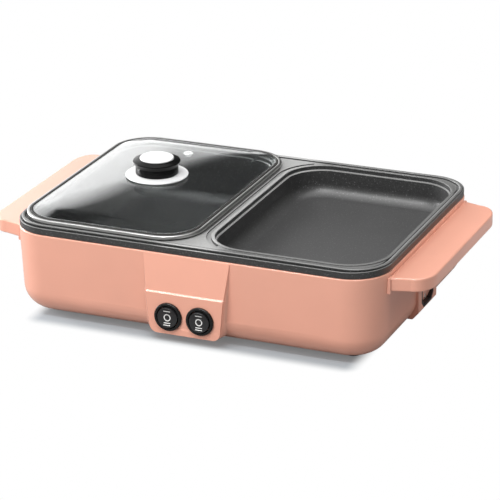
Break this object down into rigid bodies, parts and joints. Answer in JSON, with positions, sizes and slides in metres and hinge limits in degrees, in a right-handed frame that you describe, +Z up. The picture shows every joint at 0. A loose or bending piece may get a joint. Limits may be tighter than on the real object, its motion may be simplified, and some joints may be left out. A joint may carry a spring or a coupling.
{
  "type": "hot pot grill combo",
  "caption": "Countertop cooker with a pot well under a domed glass lid beside a shallow grill well, side handles and front rocker switches.",
  "frame": {"origin": "on the surface it stands on, under the middle of the whole", "axes": "+X to the right seen from the switches, +Y to the back, +Z up"},
  "size_m": [0.372, 0.24, 0.1062],
  "materials": {
    "pink_plastic": "satin moulded",
    "pan_coating": "non-stick coating with a fine speckle",
    "black_plastic": "semi-gloss",
    "chrome": "polished",
    "steel": "plain",
    "brass": "plain",
    "glass": "clear tempered",
    "rubber": "matt",
    "ceramic": "matt",
    "lead_brown": "matt",
    "lead_blue": "matt",
    "lead_green": "matt"
  },
  "bodies": {
    "cooker": {"housing_shell": "pink_plastic", "handle_left": "pink_plastic", "handle_right": "pink_plastic", "inlet_housing": "pink_plastic", "pan": "pan_coating", "inlet_body": "black_plastic", "switch_bezel_left": "black_plastic", "switch_bezel_right": "black_plastic", "bottom_cover": "steel", "heat_shield": "steel", "pot_element": "steel", "grill_element": "steel", "pot_thermostat": "steel", "grill_thermostat": "steel", "cover_screw_1": "steel", "cover_screw_2": "steel", "cover_screw_3": "steel", "cover_screw_4": "steel", "element_clip_1": "steel", "element_clip_2": "steel", "element_clip_3": "steel", "element_clip_4": "steel", "element_nut_1": "steel", "element_nut_2": "steel", "element_nut_3": "steel", "element_nut_4": "steel", "handle_screw_left_front": "steel", "handle_screw_left_back": "steel", "handle_screw_right_front": "steel", "handle_screw_right_back": "steel", "inlet_pin_live": "brass", "inlet_pin_neutral": "brass", "inlet_pin_earth": "brass", "switch_terminals_left": "brass", "switch_terminals_right": "brass", "thermal_fuse": "brass", "foot_1": "rubber", "foot_2": "rubber", "foot_3": "rubber", "foot_4": "rubber", "terminal_block": "ceramic", "live_lead": "lead_brown", "neutral_lead": "lead_blue", "earth_lead": "lead_green"},
    "rocker_left": {"rocker_left": "black_plastic"},
    "rocker_right": {"rocker_right": "black_plastic"},
    "lid": {"lid_rim": "chrome", "lid_gasket": "rubber", "lid_glass": "glass", "knob_base": "chrome", "knob_body": "black_plastic", "knob_cap": "chrome", "knob_screw": "steel", "vent_eyelet": "chrome"}
  },
  "joints": [
    {"name": "rocker_left_tilt", "type": "hinge", "parent": "cooker", "child": "rocker_left", "pos_m": [-0.0133, -0.1158, 0.0227], "axis": [1, 0, 0], "range_deg": [-10, 10]},
    {"name": "rocker_right_tilt", "type": "hinge", "parent": "cooker", "child": "rocker_right", "pos_m": [0.0133, -0.1158, 0.0227], "axis": [1, 0, 0], "range_deg": [-10, 10]},
    {"name": "lid_lift", "type": "slide", "parent": "cooker", "child": "lid", "axis": [0, 0, 1], "range_m": [0, 0.12]}
  ]
}
